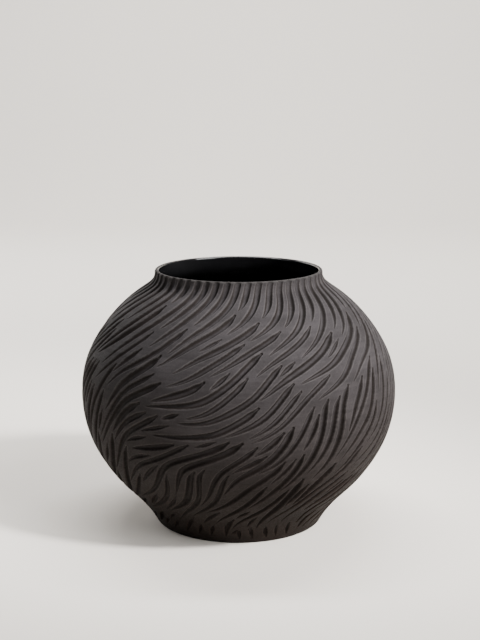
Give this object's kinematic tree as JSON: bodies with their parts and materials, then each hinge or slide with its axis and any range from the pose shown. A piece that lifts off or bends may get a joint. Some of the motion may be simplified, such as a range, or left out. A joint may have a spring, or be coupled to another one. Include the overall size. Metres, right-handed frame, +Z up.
{
  "type": "carved black clay pot",
  "caption": "Round-bellied black clay pot with a short neck, a matte outside for carved flutes, a gloss glazed inside and a foot ring.",
  "frame": {"origin": "centre of the foot, on the ground", "axes": "+Z up along the pot's axis, -Y towards the viewer; the pieces are round about +Z"},
  "size_m": [0.2458, 0.2458, 0.1999],
  "materials": {
    "black_clay": "matte, fine sanded grain, gouge carved",
    "lip_clay": "matte, rubbed smooth and a little paler",
    "black_glaze": "gloss"
  },
  "bodies": {
    "root": {"foot_ring": "black_clay", "base_slab": "black_clay", "lower_bowl": "black_clay", "upper_bowl": "black_clay", "neck_collar": "black_clay", "lip_coil": "lip_clay", "glaze_lining": "black_glaze"}
  },
  "joints": []
}
